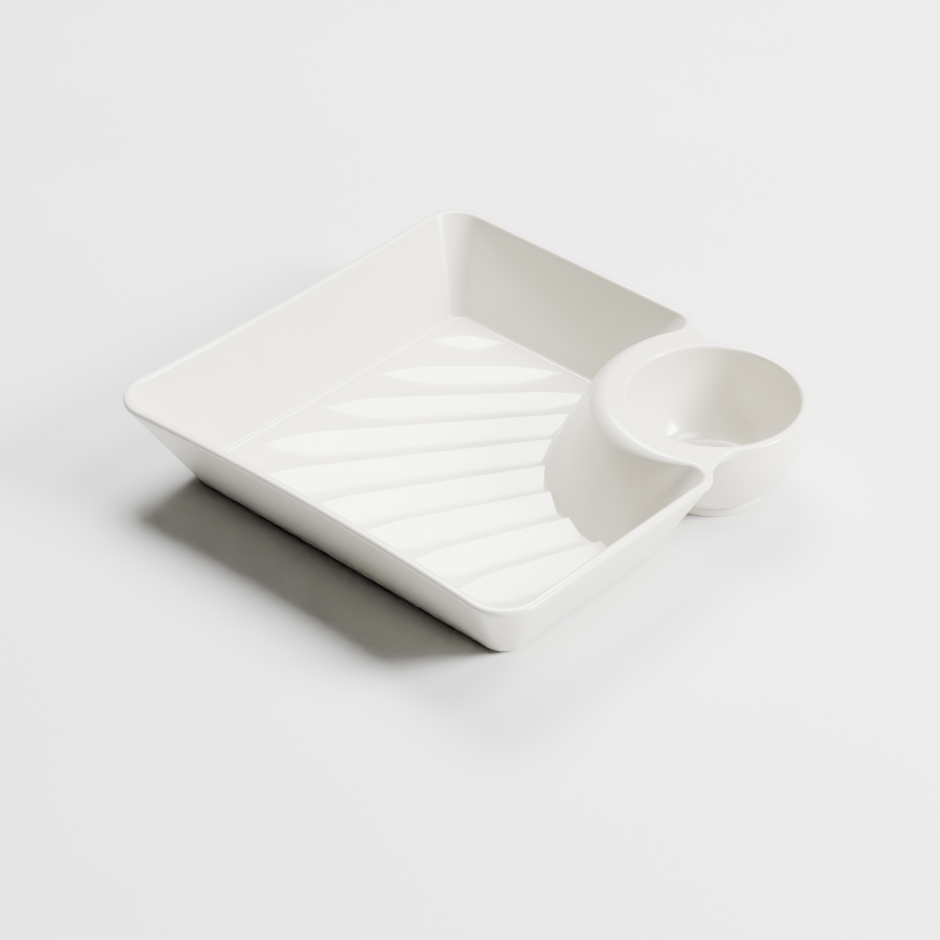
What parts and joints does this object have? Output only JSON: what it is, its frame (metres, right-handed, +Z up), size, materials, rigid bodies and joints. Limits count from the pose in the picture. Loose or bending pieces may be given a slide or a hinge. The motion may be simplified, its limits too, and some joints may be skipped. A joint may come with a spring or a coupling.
{
  "type": "chip and dip server",
  "caption": "Square serving tray with sloping walls, a fan of floor ribs for draining food, and a round dip cup moulded into one corner.",
  "frame": {"origin": "on the resting plane, under the middle of the bounding box", "axes": "+Z up; +X and +Y run along the tray's sides, towards the corner that holds the dip cup"},
  "size_m": [0.2031, 0.1926, 0.0395],
  "materials": {
    "glazed_white": "warm off-white melamine, moulded and polished, satin gloss",
    "foot_white": "the same warm off-white, dulled and lightly scuffed where the feet rub on the table"
  },
  "bodies": {
    "root": {"tray_wall": "glazed_white", "divider_wall": "glazed_white", "ribbed_floor": "glazed_white", "dip_cup": "glazed_white", "tray_foot_ring": "foot_white", "cup_foot_ring": "foot_white"}
  },
  "joints": []
}
